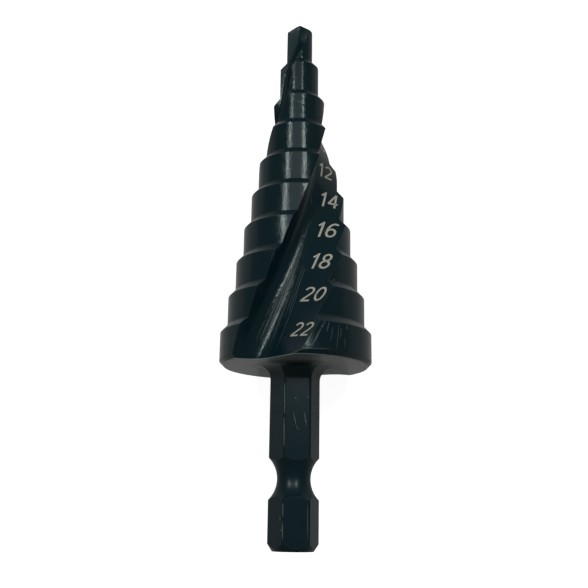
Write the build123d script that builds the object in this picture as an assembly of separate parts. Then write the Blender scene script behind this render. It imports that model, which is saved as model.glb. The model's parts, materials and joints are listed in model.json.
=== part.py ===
from build123d import *
import math
import os
import numpy as np
from scipy.spatial import ConvexHull

# A step drill for sheet metal, ground from one bar of tool steel: a stepped cone with two
# right-hand spiral flutes, a short pilot with a drill point, and a hexagonal quick-change
# shank with a ball groove. Sizes are in millimetres and angles in degrees.

# Stepped cone
pilot_diameter = 4.0
diameter_step = 2.0
step_count = 10
base_step_height = 4.6
step_height = 5.3
front_step_height = 6.0
step_chamfer_height = 1.1
pilot_length = 8.1
point_angle = 102.0
base_chamfer = 0.6

# Spiral flutes, from the base of the cone to the point
flute_count = 2
helix_angle = 22.6
tip_lead = 200.0
rake_angle = 10.0
flute_overrun = 1.6
flute_rim = 1.5
stations_per_step = 2
base_opening = 60.0
middle_opening = 66.0
front_opening = 74.0
point_opening = 122.0
base_core = 0.62
middle_core = 0.58
front_core = 0.60
point_core = 0.10
base_root = 0.32
middle_root = 0.28
front_root = 0.22
point_root = 0.12

# Hexagonal shank
shank_length = 25.5
hex_width = 6.35
hex_corner_diameter = 7.12
hex_turn = 1.3
end_face_diameter = 5.8
end_chamfer_length = 1.0
groove_centre = 9.7
groove_diameter = 4.7
groove_radius = 4.0
neck_fillet = 2.0

# How closely the surface is followed when the drill is laid down
surface_tolerance = 0.02

# Sizes that follow from those above
cone_radius = pilot_diameter / 2 + (step_count - 1) * diameter_step / 2
cone_slope = diameter_step / 2 / step_height
first_rim = shank_length + base_step_height
last_rim = first_rim + (step_count - 3) * step_height + front_step_height
overall_length = last_rim + pilot_length
middle_rim = first_rim + 3 * step_height
front_rim = first_rim + 6 * step_height
helix_end = first_rim + 7 * step_height
point_height = pilot_diameter / 2 / math.tan(math.radians(point_angle / 2))


def rim_radius(rim):
    """Radius of a step, counted from the largest."""
    return cone_radius - rim * diameter_step / 2


def rim_height(rim):
    """Height of the outer corner at the front of a step, counted from the largest."""
    return last_rim if rim == step_count - 2 else first_rim + rim * step_height


def envelope(z):
    """Radius of the cone through all the rims, which ends in the pilot's own radius."""
    return max(cone_radius - (z - first_rim) * cone_slope, pilot_diameter / 2)


def twist(z):
    """How far the flutes have turned: an even helix angle on the cone, then an even lead."""
    on_cone = math.log(envelope(shank_length) / envelope(min(z, helix_end))) / cone_slope
    on_tip = max(z - helix_end, 0) * 360 / tip_lead
    return math.degrees(math.tan(math.radians(helix_angle)) * on_cone) + on_tip


def along(z, base, middle, front, point):
    """A flute size that changes evenly between the rims, and holds from the front to the last."""
    heights = (shank_length, middle_rim, front_rim, last_rim, overall_length - point_height)
    return float(np.interp(z, heights, (base, middle, front, front, point)))


def opening(z):
    """Angle from the cutting edge of a flute to its heel."""
    return along(z, base_opening, middle_opening, front_opening, point_opening)


def polar(radius, angle):
    return Vector(radius * math.cos(math.radians(angle)), radius * math.sin(math.radians(angle)))


def stepped_cone():
    """The turned blank in front of the shank."""
    outline = [(0, shank_length), (cone_radius - base_chamfer, shank_length)]
    outline.append((cone_radius, shank_length + base_chamfer))
    for rim in range(step_count - 1):
        outline.append((rim_radius(rim), rim_height(rim)))
        outline.append((rim_radius(rim + 1), rim_height(rim) + step_chamfer_height))
    outline.append((pilot_diameter / 2, overall_length - point_height))
    outline.append((0, overall_length))
    profile = Plane.XZ * make_face(Polyline(*outline, close=True))
    return revolve(profile, Axis.Z)


def flute_section(z, start):
    """One slice of the ground flute: a raked face, a round root and a long flat back."""
    size = envelope(z)
    core = size * along(z, base_core, middle_core, front_core, point_core)
    root = size * along(z, base_root, middle_root, front_root, point_root)
    edge = polar(size, start)
    heel = polar(size, start + opening(z))
    inward = polar(1, start + 180 - rake_angle)
    foot = start + opening(z) - math.degrees(math.acos(core / size))
    along_back = polar(1, foot - 90)
    normal = polar(1, foot)
    depth = (edge.dot(normal) - core) / -inward.dot(normal)
    corner = edge + inward * depth
    half_corner = math.radians(inward.get_angle(along_back * -1)) / 2
    trim = root * math.tan(half_corner)
    bisector = (along_back * -1 - inward).normalized()
    centre = corner + bisector * (root / math.cos(half_corner))
    deepest = centre - bisector * root
    face_end = corner - inward * trim
    back_start = corner - along_back * trim
    reach = size * flute_rim
    face_top = edge - inward * (reach - size)
    back_reach = math.sqrt(reach ** 2 - core ** 2)
    back_top = normal * core - along_back * back_reach
    crown = (face_top + back_top).normalized() * reach
    edges = [
        Line(face_top, face_end),
        ThreePointArc(face_end, deepest, back_start),
        Line(back_start, back_top),
        ThreePointArc(back_top, crown, face_top),
    ]
    return Pos(0, 0, z) * Wire(edges)


def flute_cutter(start):
    """The space that one flute takes out of the blank, from below the base past the point."""
    low = shank_length - flute_overrun
    spacing = step_height / stations_per_step
    heights = [low]
    heights += [shank_length + i * spacing for i in range(stations_per_step * (step_count + 1))]
    heights = [z for z in heights if z < overall_length + flute_overrun]
    heights.append(overall_length + flute_overrun)
    sections = [flute_section(z, start + twist(z)) for z in heights]
    return Solid.make_loft(sections)


def shank():
    """Hexagonal bar with turned corners, a chamfered end and the groove for the chuck's ball."""
    top = shank_length + base_chamfer
    corner = hex_corner_diameter / 2
    groove_depth = corner - groove_diameter / 2
    half_groove = math.sqrt(groove_radius ** 2 - (groove_radius - groove_depth) ** 2)
    outline = Polyline(
        (corner, groove_centre - half_groove),
        (corner, end_chamfer_length),
        (end_face_diameter / 2, 0),
        (0, 0),
        (0, top),
        (corner, top),
        (corner, groove_centre + half_groove),
    )
    groove = ThreePointArc(
        (corner, groove_centre + half_groove),
        (groove_diameter / 2, groove_centre),
        (corner, groove_centre - half_groove),
    )
    turned = revolve(Plane.XZ * make_face([outline, groove]), Axis.Z)
    hexagon = RegularPolygon(hex_width / 2, 6, major_radius=False, rotation=hex_turn - 30)
    return turned & extrude(hexagon, top)


def with_neck(body):
    """The body with a concave fillet where the hexagon meets the base of the cone."""
    at_base = body.edges().filter_by_position(Axis.Z, shank_length - 0.01, shank_length + 0.01)
    seam = [edge for edge in at_base if edge.length < hex_width]
    return fillet(seam, neck_fillet)


def resting_plane(drill):
    """The face of the convex hull on which the drill lies with its centre of mass lowest."""
    corners, _ = drill.tessellate(surface_tolerance)
    points = np.array([tuple(corner) for corner in corners])
    centre = np.array(tuple(drill.center(CenterOf.MASS)))
    best = None
    for face, (*normal, offset) in zip(*hull_faces(points)):
        height = -(np.dot(normal, centre) + offset)
        if abs(normal[2]) > 0.5 or not above_face(points[face], normal, centre):
            continue
        if best is None or height < best[0] - 1e-6:
            best = (height, normal, points[face[0]])
    up = Vector(*best[1]) * -1
    forward = Vector(0, 0, 1) - up * up.Z
    return Plane(origin=tuple(best[2]), x_dir=forward.cross(up), z_dir=up)


def hull_faces(points):
    hull = ConvexHull(points)
    return hull.simplices, hull.equations


def above_face(triangle, normal, point):
    """Whether a point lies over a triangle, seen along the triangle's normal."""
    sides = np.roll(triangle, -1, axis=0) - triangle
    turns = np.cross(sides, point - triangle) @ np.array(normal)
    return bool(np.all(turns > 0) or np.all(turns < 0))


blank = with_neck(stepped_cone() + shank())
for flute in range(flute_count):
    blank -= flute_cutter(flute * 360 / flute_count)
drill = blank.solid()

# The drill lies as it comes to rest, on a flute, with its point towards +Y
lying = resting_plane(drill).to_local_coords(drill)
box = lying.bounding_box()
placed = Pos(-box.center().X, -box.center().Y, 0) * lying

os.makedirs("parts", exist_ok=True)
export_step(placed, "parts/step_drill.step")
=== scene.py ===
import json
import math
import bpy
import numpy as np
from mathutils import Matrix, Vector


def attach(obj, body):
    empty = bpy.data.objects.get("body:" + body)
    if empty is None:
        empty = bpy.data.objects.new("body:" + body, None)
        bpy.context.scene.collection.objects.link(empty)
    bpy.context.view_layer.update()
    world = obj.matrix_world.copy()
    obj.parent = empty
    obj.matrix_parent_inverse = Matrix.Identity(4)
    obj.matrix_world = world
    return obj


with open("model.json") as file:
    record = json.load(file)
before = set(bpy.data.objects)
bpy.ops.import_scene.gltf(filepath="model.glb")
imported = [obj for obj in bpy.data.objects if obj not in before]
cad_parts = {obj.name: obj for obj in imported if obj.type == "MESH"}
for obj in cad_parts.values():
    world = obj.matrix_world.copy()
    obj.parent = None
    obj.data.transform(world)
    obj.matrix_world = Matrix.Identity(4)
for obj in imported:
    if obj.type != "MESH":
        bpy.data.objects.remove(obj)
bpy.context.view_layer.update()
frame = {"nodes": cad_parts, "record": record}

# ---------------------------------------------------------------------------------------
# The camera looks down on the drill, which lies on a pale table with its point away from
# the viewer. It stands close to the drill, a little to the right and behind its middle.
# ---------------------------------------------------------------------------------------
camera_place = Vector((0.012529, -0.018696, 0.133434))
camera_aim = Vector((-0.000275, -0.004013, 0.010))
camera_roll = math.radians(-0.029)
focal_pixels = 850.0
image_pixels = 588
sensor_width = 36.0
nearest_view = 0.005

view_direction = (camera_aim - camera_place).normalized()
level_right = view_direction.cross(Vector((0, 1, 0))).normalized()
level_up = level_right.cross(view_direction)
image_right = level_right * math.cos(camera_roll) + level_up * math.sin(camera_roll)
image_up = image_right.cross(view_direction)

camera = bpy.data.objects.new("camera", bpy.data.cameras.new("camera"))
camera.data.sensor_width = sensor_width
camera.data.lens = focal_pixels * sensor_width / image_pixels
camera.data.clip_start = nearest_view
camera.matrix_world = Matrix.Translation(camera_place) @ Matrix(
    (image_right, image_up, -view_direction)).transposed().to_4x4()
bpy.context.scene.collection.objects.link(camera)
bpy.context.scene.camera = camera
bpy.context.scene.view_settings.view_transform = "Standard"

# ---------------------------------------------------------------------------------------
# Light: a soft panel over the drill with a brighter strip lamp along each of its long
# sides, and a dim room round it. The strips run along the drill.
# ---------------------------------------------------------------------------------------
lamp_height = 0.60
panel_gap = 0.01
lamp_middle_y = 0.370
lamp_length = 0.28
strip_angle = math.radians(26.0)
strip_width = 0.030
strip_radiance = 58.0
panel_radiance = 1.6
room_radiance = 0.10


def add_lamp(name, place, width, length, radiance):
    """A rectangular lamp that faces the drill, with its long side along Y.
    An area lamp's radiance is its power over its area and pi, so power = pi * area * radiance."""
    lamp = bpy.data.objects.new(name, bpy.data.lights.new(name, "AREA"))
    lamp.data.shape = "RECTANGLE"
    lamp.data.size = width
    lamp.data.size_y = length
    lamp.data.energy = math.pi * width * length * radiance
    lamp.location = place
    lamp.rotation_euler = (0, math.atan2(place.x, place.z), 0)
    bpy.context.scene.collection.objects.link(lamp)


strip_reach = lamp_height * math.tan(strip_angle)
add_lamp("panel_lamp", Vector((0, lamp_middle_y, lamp_height + panel_gap)),
         2 * strip_reach, lamp_length, panel_radiance)
for side in (-1, 1):
    add_lamp(f"strip_lamp_{side:+d}", Vector((side * strip_reach, lamp_middle_y, lamp_height)),
             strip_width, lamp_length, strip_radiance)

world = bpy.data.worlds.new("room")
world.use_nodes = True
world.node_tree.nodes["Background"].inputs["Color"].default_value = (1.0, 1.0, 1.0, 1.0)
bpy.context.scene.world = world

# ---------------------------------------------------------------------------------------
# Table: a white sheet of card, larger than the view. The camera sees it, and the room past
# its edge, as plain white, with the drill's faint shadow on it.
# ---------------------------------------------------------------------------------------
table_size = 3.0
table_white = 0.48
table_roughness = 0.9
camera_glow = 0.94
mirrored_glow = 0.11

corners = np.array([(-1, -1, 0), (1, -1, 0), (1, 1, 0), (-1, 1, 0)]) * table_size / 2
table_mesh = bpy.data.meshes.new("table")
table_mesh.from_pydata(corners.tolist(), [], [(0, 1, 2, 3)])
table = bpy.data.objects.new("table", table_mesh)
bpy.context.scene.collection.objects.link(table)


def add_node(tree, kind, settings=None, **inputs):
    """A shader node with its settings and its named or numbered inputs: a link or a value."""
    node = tree.nodes.new("ShaderNode" + kind)
    for name, value in (settings or {}).items():
        setattr(node, name, value)
    for name, value in inputs.items():
        socket = node.inputs[int(name[1:])] if name[1:].isdigit() else node.inputs[name.replace("_", " ")]
        if isinstance(value, bpy.types.NodeSocket):
            tree.links.new(value, socket)
        else:
            socket.default_value = value
    return node


def seen_and_mirrored(tree):
    """Two levels: 1 for what the camera sees itself, and 1 for what a mirror or glass shows.
    The second is kept faint where it is used, because a white table turns black steel grey."""
    rays = add_node(tree, "LightPath")
    mirrored = add_node(tree, "Math", {"operation": "MAXIMUM"}, _0=rays.outputs["Is Glossy Ray"],
                        _1=rays.outputs["Is Transmission Ray"])
    return rays.outputs["Is Camera Ray"], mirrored.outputs[0]


card = bpy.data.materials.new("white_card")
card.use_nodes = True
tree = card.node_tree
shader = tree.nodes["Principled BSDF"]
shader.inputs["Base Color"].default_value = (table_white, table_white, table_white, 1)
shader.inputs["Roughness"].default_value = table_roughness
seen, mirrored = seen_and_mirrored(tree)
faint = add_node(tree, "Math", {"operation": "MULTIPLY"}, _0=mirrored, _1=mirrored_glow)
level = add_node(tree, "Math", {"operation": "MULTIPLY_ADD"}, _0=seen, _1=camera_glow,
                 _2=faint.outputs[0])
glow = add_node(tree, "Emission", Strength=level.outputs[0])
both = add_node(tree, "AddShader", _0=shader.outputs[0], _1=glow.outputs[0])
tree.links.new(both.outputs[0], tree.nodes["Material Output"].inputs["Surface"])
table_mesh.materials.append(card)

# Past the table's edge the camera sees the same white.
tree = world.node_tree
seen, mirrored = seen_and_mirrored(tree)
faint = add_node(tree, "Math", {"operation": "MULTIPLY_ADD"}, _0=mirrored, _1=mirrored_glow,
                 _2=room_radiance)
level = add_node(tree, "Math", {"operation": "MAXIMUM"}, _0=seen, _1=faint.outputs[0])
tree.links.new(level.outputs[0], tree.nodes["Background"].inputs["Strength"])

# ---------------------------------------------------------------------------------------
# Drill: one bar of tool steel, turned and ground, then blackened in a hot oxide bath. The
# bath leaves a thin satin skin, blue-green in its depths. The cone's ground steps and flutes
# show more grain than the shank, the ball groove is duller, and the cone's flat base is painted
# pale grey as a painted reflection of the white table.
# ---------------------------------------------------------------------------------------
drill = frame["nodes"]["step_drill"]
oxide_colour = (0.0010, 0.0130, 0.0215, 1.0)
oxide_worn_colour = (0.0050, 0.0185, 0.0215, 1.0)
oxide_reflection = (0.86, 1.0, 0.97, 1.0)
oxide_index = 1.3
ground_roughness = (0.09, 0.23)
turned_roughness = 0.20
groove_roughness = 0.29
groove_reach = (0.0028, 0.0031)
shank_length = 0.0255
grain_size = 0.00030
grain_height = 2.4e-5
turned_grain = 0.22
blotch_size = 0.0022
edge_radius = 0.00009
edge_colour = (0.060, 0.066, 0.064, 1.0)
edge_turn = (0.985, 0.90)
# Painted reflection: the cone's flat base is painted pale grey to stand for the white table mirrored in it.
base_painted_reflection = (0.210, 0.240, 0.218, 1.0)
painted_reflection_fade = (0.0010, 0.0002)
neck_reach = (0.0042, 0.0068)
rim_margin = 0.0001
polish_stretch = 0.3
polish_range = (0.3, 0.7)

shank_end = next(mount for mount in frame["record"]["mounts"] if mount["name"] == "shank_end")
drill_start = Vector(shank_end["pos_m"])
drill_axis = -Vector(shank_end["axis"])
nose_down = math.atan2(-drill_axis.z, drill_axis.y)
to_drill = Matrix.Rotation(math.pi / 2 + nose_down, 3, "X")

steel = bpy.data.materials.new("black_oxide_steel")
steel.use_nodes = True
tree = steel.node_tree
shader = tree.nodes["Principled BSDF"]
place = add_node(tree, "TexCoord")
axes = add_node(tree, "Mapping", Vector=place.outputs["Object"],
                Rotation=(math.pi / 2 + nose_down, 0, 0), Location=-(to_drill @ drill_start))
height = add_node(tree, "SeparateXYZ", Vector=axes.outputs[0])
level_place = add_node(tree, "VectorMath", {"operation": "MULTIPLY"}, _0=axes.outputs[0],
                       _1=(1.0, 1.0, 0.0))
reach = add_node(tree, "VectorMath", {"operation": "LENGTH"}, _0=level_place.outputs[0])

blotches = add_node(tree, "TexNoise", Vector=axes.outputs[0], Scale=1 / blotch_size, Detail=4.0)
skin = add_node(tree, "MixRGB", Fac=blotches.outputs["Fac"], Color1=oxide_colour,
                Color2=oxide_worn_colour)

edges = add_node(tree, "Bevel", {"samples": 4}, Radius=edge_radius)
plain = add_node(tree, "NewGeometry")
bent = add_node(tree, "VectorMath", {"operation": "DOT_PRODUCT"}, _0=edges.outputs[0],
                _1=plain.outputs["Normal"])
rubbed = add_node(tree, "MapRange", Value=bent.outputs["Value"], From_Min=edge_turn[0],
                  From_Max=edge_turn[1], To_Min=0.0, To_Max=1.0)
patchy = add_node(tree, "Math", {"operation": "MULTIPLY"}, _0=rubbed.outputs[0],
                  _1=blotches.outputs["Fac"])
worn = add_node(tree, "MixRGB", Fac=patchy.outputs[0], Color1=skin.outputs[0], Color2=edge_colour)

# Mask for the painted reflection: the flat base just below the rim, faded in away from the neck.
near_base = add_node(tree, "MapRange", Value=height.outputs["Z"], From_Min=shank_length - painted_reflection_fade[0],
                     From_Max=shank_length - painted_reflection_fade[1], To_Min=0.0, To_Max=1.0)
below_rim = add_node(tree, "Math", {"operation": "LESS_THAN"}, _0=height.outputs["Z"],
                     _1=shank_length + rim_margin)
clear_of_neck = add_node(tree, "MapRange", Value=reach.outputs["Value"], From_Min=neck_reach[0],
                         From_Max=neck_reach[1], To_Min=0.0, To_Max=1.0)
under = add_node(tree, "Math", {"operation": "MULTIPLY"}, _0=near_base.outputs[0],
                 _1=below_rim.outputs[0])
painted_reflection_mask = add_node(tree, "Math", {"operation": "MULTIPLY"}, _0=under.outputs[0],
                     _1=clear_of_neck.outputs[0])
with_painted_reflection = add_node(tree, "MixRGB", Fac=painted_reflection_mask.outputs[0], Color1=worn.outputs[0],
                 Color2=base_painted_reflection)
tree.links.new(with_painted_reflection.outputs[0], shader.inputs["Base Color"])

polish = add_node(tree, "TexNoise", Vector=axes.outputs[0], Scale=polish_stretch / grain_size, Detail=3.0)
ground = add_node(tree, "MapRange", Value=polish.outputs["Fac"], From_Min=polish_range[0],
                  From_Max=polish_range[1], To_Min=ground_roughness[0],
                  To_Max=ground_roughness[1])
is_cone = add_node(tree, "Math", {"operation": "GREATER_THAN"}, _0=height.outputs["Z"],
                   _1=shank_length + rim_margin)
turned_finish = add_node(tree, "MapRange", Value=reach.outputs["Value"], From_Min=groove_reach[0],
                         From_Max=groove_reach[1], To_Min=groove_roughness,
                         To_Max=turned_roughness)
finish = add_node(tree, "MixRGB", Fac=is_cone.outputs[0], Color1=turned_finish.outputs[0],
                  Color2=ground.outputs[0])
tree.links.new(finish.outputs[0], shader.inputs["Roughness"])

grain = add_node(tree, "TexNoise", Vector=axes.outputs[0], Scale=1 / grain_size, Detail=2.0)
depth = add_node(tree, "MapRange", Value=is_cone.outputs[0], To_Min=turned_grain, To_Max=1.0)
relief = add_node(tree, "Bump", Height=grain.outputs["Fac"], Distance=grain_height,
                  Strength=depth.outputs[0], Normal=edges.outputs[0])
tree.links.new(relief.outputs[0], shader.inputs["Normal"])
shader.inputs["IOR"].default_value = oxide_index
shader.inputs["Specular Tint"].default_value = oxide_reflection
for slot in drill.material_slots:
    slot.material = steel

# ---------------------------------------------------------------------------------------
# Sizes: the holes that the seven largest steps cut, marked by laser on the back of one flute
# in plain slanted figures. The laser burns the oxide off to bare steel, warm grey and dull.
# ---------------------------------------------------------------------------------------
figure_height = 0.00275
figure_turn = math.radians(-6.0)
figure_slant = 0.22
figure_gap = 0.14
stroke_width = 0.115
mark_thickness = 0.000015
mark_sunk = 0.3
mark_drop = 0.004
mark_roughness = 0.65
mark_index = 1.4
mark_grain_size = 1 / 6000
mark_contrast = 0.25
mark_colour = (0.43, 0.415, 0.345, 1.0)
largest_size = 22
step_height = 0.0053
first_mark_height = 0.0291
ray_start = 0.02
mark_angles = (-78.6, -66.8, -55.6, -40.7, -23.2, -8.5, 14.0)
mark_widths = (0.91, 0.97, 1.0, 1.0, 1.0, 1.0, 1.0)
mark_heights = (0.80, 0.87, 0.97, 1.0, 1.0, 1.0, 1.0)


def arc(centre, radii, start, end, count=25):
    """Points of an ellipse: centre + radii * (cos, sin) of an angle from start to end."""
    turn = np.radians(np.linspace(start, end, count))
    return np.column_stack((centre[0] + radii[0] * np.cos(turn), centre[1] + radii[1] * np.sin(turn)))


def line(*points):
    """A straight or bent line with its points about a sixtieth of a figure apart."""
    points = np.array(points, float)
    lengths = np.concatenate(([0], np.cumsum(np.hypot(*np.diff(points, axis=0).T))))
    steps = np.linspace(0, lengths[-1], max(3, int(lengths[-1] * 60)))
    return np.column_stack([np.interp(steps, lengths, side) for side in points.T])


figure_strokes = {
    "0": [arc((0.29, 0.5), (0.23, 0.44), 0, 360, 49)],
    "1": [line((0.10, 0.72), (0.30, 0.93)), line((0.30, 0.0), (0.30, 1.0))],
    "2": [np.vstack((arc((0.29, 0.71), (0.225, 0.23), 165, -35), line((0.44, 0.52), (0.07, 0.09)))),
          line((0.02, 0.06), (0.53, 0.06))],
    "4": [line((0.40, 0.97), (0.05, 0.31)), line((0.0, 0.29), (0.56, 0.29)),
          line((0.41, 0.0), (0.41, 1.0))],
    "6": [arc((0.29, 0.31), (0.225, 0.25), 0, 360, 49),
          arc((0.40, 0.40), (0.335, 0.54), 190, 62)],
    "8": [arc((0.29, 0.735), (0.185, 0.205), 0, 360, 49), arc((0.29, 0.28), (0.225, 0.22), 0, 360, 49)],
}
figure_widths = {"0": 0.58, "1": 0.40, "2": 0.56, "4": 0.58, "6": 0.56, "8": 0.56}


def ribbon(points, width):
    """A flat band along a line: each point moved half the width to either side of the line.
    Returns the corners, three across, and the faces between them."""
    along = np.gradient(points, axis=0)
    if np.allclose(points[0], points[-1]):
        along[[0, -1]] = along[0] + along[-1]
    across = np.column_stack((-along[:, 1], along[:, 0]))
    across /= np.linalg.norm(across, axis=1)[:, None]
    offsets = np.array((-0.5, 0.0, 0.5))[None, :, None] * np.broadcast_to(width, len(points))[:, None, None]
    grid = points[:, None, :] + across[:, None, :] * offsets
    rows, columns = np.mgrid[0:len(points) - 1, 0:2]
    first = rows * 3 + columns
    faces = np.stack((first, first + 3, first + 4, first + 1), -1).reshape(-1, 4)
    return grid.reshape(-1, 2), faces


def conform(name, sheets, origin, normal, upward):
    """Lays flat ribbons on the drill: they are dropped on it along its normal and thickened.
    The plane's axes are upward x normal, upward and normal, with the origin on the surface."""
    corners, faces, count = [], [], 0
    for sheet_corners, sheet_faces in sheets:
        corners.append(np.column_stack((sheet_corners, np.zeros(len(sheet_corners)))))
        faces.append(sheet_faces + count)
        count += len(sheet_corners)
    mesh = bpy.data.meshes.new(name)
    mesh.from_pydata(np.vstack(corners).tolist(), [], np.vstack(faces).tolist())
    flat = bpy.data.objects.new(name + "_flat", mesh)
    bpy.context.scene.collection.objects.link(flat)
    side = upward.cross(normal).normalized()
    flat.matrix_world = Matrix.Translation(origin) @ Matrix(
        (side, normal.cross(side), normal)).transposed().to_4x4()
    wrap = flat.modifiers.new("lay", "SHRINKWRAP")
    wrap.wrap_method = "PROJECT"
    wrap.target = drill
    wrap.use_project_z = True
    wrap.use_negative_direction = True
    wrap.use_positive_direction = True
    wrap.project_limit = mark_drop
    wrap.offset = mark_thickness * mark_sunk
    thicken = flat.modifiers.new("thicken", "SOLIDIFY")
    thicken.thickness = mark_thickness
    thicken.offset = 1.0
    bpy.context.view_layer.update()
    shaped = bpy.data.meshes.new_from_object(flat.evaluated_get(bpy.context.evaluated_depsgraph_get()))
    shaped.transform(flat.matrix_world)
    bpy.data.objects.remove(flat)
    return shaped


def on_drill(height, angle):
    """The point of the drill's surface at a height and an angle round its axis, and its normal.
    It is where a ray from outside, straight at the axis, first meets the drill."""
    turn = math.radians(angle)
    outward = to_drill.transposed() @ Vector((math.cos(turn), math.sin(turn), 0))
    start = drill_start + drill_axis * height + outward * ray_start
    _, point, normal, _ = drill.ray_cast(start, -outward)
    return point, normal


def joined(name, meshes, material):
    """One object, at the origin, that holds several meshes."""
    corners, faces, count = [], [], 0
    for mesh in meshes:
        places = np.empty(len(mesh.vertices) * 3)
        mesh.vertices.foreach_get("co", places)
        corners.append(places.reshape(-1, 3))
        loops = np.empty(len(mesh.loops), int)
        mesh.loops.foreach_get("vertex_index", loops)
        faces.append(loops.reshape(-1, 4) + count)
        count += len(mesh.vertices)
    whole = bpy.data.meshes.new(name)
    whole.from_pydata(np.vstack(corners).tolist(), [], np.vstack(faces).tolist())
    whole.materials.append(material)
    piece = bpy.data.objects.new(name, whole)
    bpy.context.scene.collection.objects.link(piece)
    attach(piece, "root")


laser = bpy.data.materials.new("laser_mark")
laser.use_nodes = True
tree = laser.node_tree
shader = tree.nodes["Principled BSDF"]
place = add_node(tree, "TexCoord")
burn = add_node(tree, "TexNoise", Vector=place.outputs["Object"], Scale=1 / mark_grain_size, Detail=3.0)
bare = add_node(tree, "MixRGB", Fac=burn.outputs["Fac"],
                Color1=[channel * (1 - mark_contrast) for channel in mark_colour[:3]] + [1.0],
                Color2=[channel * (1 + mark_contrast) for channel in mark_colour[:3]] + [1.0])
tree.links.new(bare.outputs[0], shader.inputs["Base Color"])
shader.inputs["Roughness"].default_value = mark_roughness
shader.inputs["IOR"].default_value = mark_index

marks = []
for step, angle in enumerate(mark_angles):
    text = str(largest_size - 2 * step)
    point, normal = on_drill(first_mark_height + step * step_height, angle)
    pen, sheets = 0.0, []
    for figure in text:
        sheets += [ribbon(stroke + (pen, 0), stroke_width) for stroke in figure_strokes[figure]]
        pen += figure_widths[figure] + figure_gap
    middle = np.array(((pen - figure_gap + figure_slant) / 2, 0.5))
    size = figure_height * np.array((mark_widths[step], mark_heights[step]))
    sheets = [((sheet + np.column_stack((sheet[:, 1] * figure_slant, 0 * sheet[:, 1])) - middle)
               * size, faces) for sheet, faces in sheets]
    upward = (drill_axis - normal * drill_axis.dot(normal)).normalized()
    upward = Matrix.Rotation(figure_turn, 3, normal) @ upward
    marks.append(conform(f"size_{text}", sheets, point, normal, upward))
joined("engraved_sizes", marks, laser)

# ---------------------------------------------------------------------------------------
# Scratches: where chips, the chuck and other tools have rubbed the oxide through to the
# steel, and a painted highlight along the left hex corner, drawn in the same pale steel. Each is a fine
# line, with its middle wider than its ends.
# ---------------------------------------------------------------------------------------
# Pale rubbed steel, used for the scratches and also for the painted highlight on the hex corner.
scratch_and_glint_colour = (0.150, 0.172, 0.162, 1.0)
scratch_roughness = 0.35
scratch_grain_size = 1 / 4000
scratch_points = 25
narrow_end = 0.17

# Height in mm and angle in degrees of each line's two ends, and its width in mm.
scratches_and_glint = (
    (26.6, -73, 30.1, -63, 0.13), (26.9, -71, 29.6, -65, 0.08), (28.6, -62, 30.0, -60, 0.10),
    (27.3, -59, 29.4, -57, 0.07), (26.5, -54, 29.9, -52, 0.07), (28.0, -51, 29.3, -50, 0.09),
    (26.7, -47, 28.2, -47, 0.07), (29.2, -45, 30.0, -45, 0.12), (18.7, -88, 16.8, -80, 0.10),
    (18.7, -61, 16.8, -55, 0.10), (16.8, -80, 16.3, -74, 0.08), (23.0, -36, 23.1, -34, 0.14),
    (20.8, -54, 20.9, -51, 0.12), (20.5, -84, 20.8, -80, 0.12), (20.3, -78, 20.4, -75, 0.11),
    (4.0, -116, 4.6, -115, 0.20), (2.7, -112, 3.0, -111, 0.20), (66.3, -98, 65.2, -72, 0.06),
    (66.0, -91, 65.3, -78, 0.05), (36.5, -49, 36.8, -48, 0.18), (38.6, -60, 40.2, -59, 0.06),
    (43.6, -44, 45.4, -43, 0.06), (49.0, -56, 50.4, -55, 0.05), (33.0, -66, 35.0, -65, 0.07),
    # The four bands at -108 to -107 degrees, from 1.6 to 22.8 mm, are a painted highlight: a pale line
    # along the left hex corner where light glints on the edge.
    (34.3, -148, 35.2, -146, 0.08), (39.9, -143, 40.6, -141, 0.07), (22.8, -108, 18.3, -107, 0.18),
    (17.9, -108, 13.9, -107, 0.18), (6.4, -108, 4.5, -107, 0.18), (3.9, -108, 1.6, -107, 0.18),
    (6.2, -51, 1.5, -50, 0.08), (25.6, -118, 25.6, -90, 0.06), (25.7, -87, 26.3, -73, 0.10),
    (26.2, -71, 26.3, -60, 0.06),
)

rubbed_steel_and_glint = bpy.data.materials.new("rubbed_steel_and_glint")
rubbed_steel_and_glint.use_nodes = True
tree = rubbed_steel_and_glint.node_tree
shader = tree.nodes["Principled BSDF"]
place = add_node(tree, "TexCoord")
patches = add_node(tree, "TexNoise", Vector=place.outputs["Object"],
                   Scale=1 / scratch_grain_size, Detail=3.0)
thin = add_node(tree, "MixRGB", Fac=patches.outputs["Fac"], Color1=oxide_worn_colour,
                Color2=scratch_and_glint_colour)
tree.links.new(thin.outputs[0], shader.inputs["Base Color"])
shader.inputs["Roughness"].default_value = scratch_roughness
shader.inputs["IOR"].default_value = oxide_index


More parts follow.
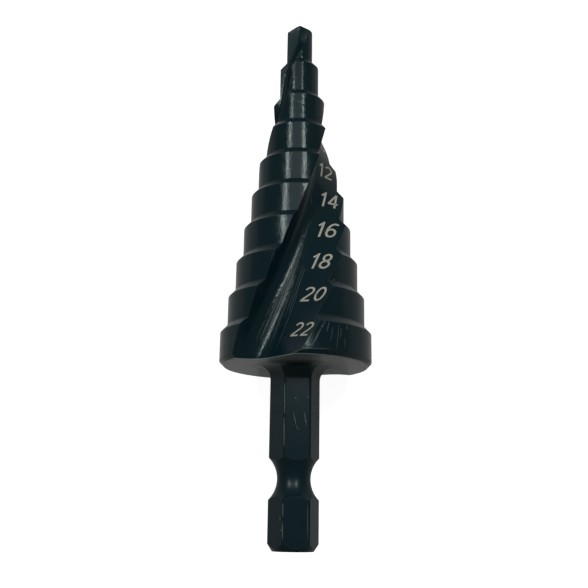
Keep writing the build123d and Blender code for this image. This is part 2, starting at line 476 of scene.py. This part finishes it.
def band(heights, angles, width, thickness):
    """A thin band along a line on the drill, given by its height and its angle round the axis.
    At each point it is a flat rectangle: point +- width / 2 * (normal x direction), and the same
    raised by thickness * normal. The width follows the root of a cosine, down to a sixth at both
    ends, which are closed."""
    hits = [on_drill(height, angle) for height, angle in zip(heights, angles)]
    points = np.array([tuple(point) for point, _ in hits])
    normals = np.array([tuple(normal) for _, normal in hits])
    along = np.gradient(points, axis=0)
    across = np.cross(normals, along)
    across /= np.linalg.norm(across, axis=1)[:, None]
    run = np.linspace(-0.5, 0.5, len(points))
    half = across * (width / 2 * np.clip(np.sqrt(np.cos(run * math.pi)), narrow_end, 1))[:, None]
    low, high = points - normals * thickness * mark_sunk, points + normals * thickness
    grid = np.stack((low + half, low - half, high - half, high + half), 1)
    rows, columns = np.mgrid[0:len(points) - 1, 0:4]
    following = (columns + 1) % 4
    faces = np.stack((rows * 4 + columns, rows * 4 + 4 + columns, rows * 4 + 4 + following,
                      rows * 4 + following), -1).reshape(-1, 4)
    last = len(points) * 4
    ends = [(0, 1, 2, 3), (last - 1, last - 2, last - 3, last - 4)]
    mesh = bpy.data.meshes.new("band")
    mesh.from_pydata(grid.reshape(-1, 3).tolist(), [], np.vstack((faces, ends)).tolist())
    return mesh


lines = []
for low, low_angle, high, high_angle, width in scratches_and_glint:
    run = np.linspace(0, 1, scratch_points)
    lines.append(band((low + (high - low) * run) / 1000, low_angle + (high_angle - low_angle) * run,
                      width / 1000, mark_thickness))

# The grinding wheel leaves lines along the flute, in mm and degrees. They turn round the cone
# at an even angle: angle = start + turn * ln(radius at the base / radius at the height) / taper.
wheel_starts = (-122.0, -131.0, -112.0)
wheel_limits = ((26.4, 43.0), (26.8, 46.0), (26.2, 40.0))
wheel_turn = 0.50
base_radius = 11.87
cone_taper = 0.1887
wheel_lines = (14, 9, 8)
wheel_spread = (2.2, 2.0, 4.0)
wheel_width = (0.035, 0.085)
shortest_line = 2.0
wheel_points = 40
chance = np.random.default_rng(4)
for start, limits, count, spread in zip(wheel_starts, wheel_limits, wheel_lines, wheel_spread):
    for _ in range(count):
        shift = chance.normal(0, spread)
        ends = np.sort(chance.uniform(*limits, 2))
        if ends[1] - ends[0] < shortest_line:
            continue
        heights = np.linspace(ends[0], ends[1], wheel_points)
        radii = base_radius - (heights - shank_length * 1000) * cone_taper
        angles = start + shift + np.degrees(wheel_turn * np.log(base_radius / radii) / cone_taper)
        lines.append(band(heights / 1000, angles, chance.uniform(*wheel_width) / 1000,
                          mark_thickness / 2))
joined("scratches_and_glint", lines, rubbed_steel_and_glint)
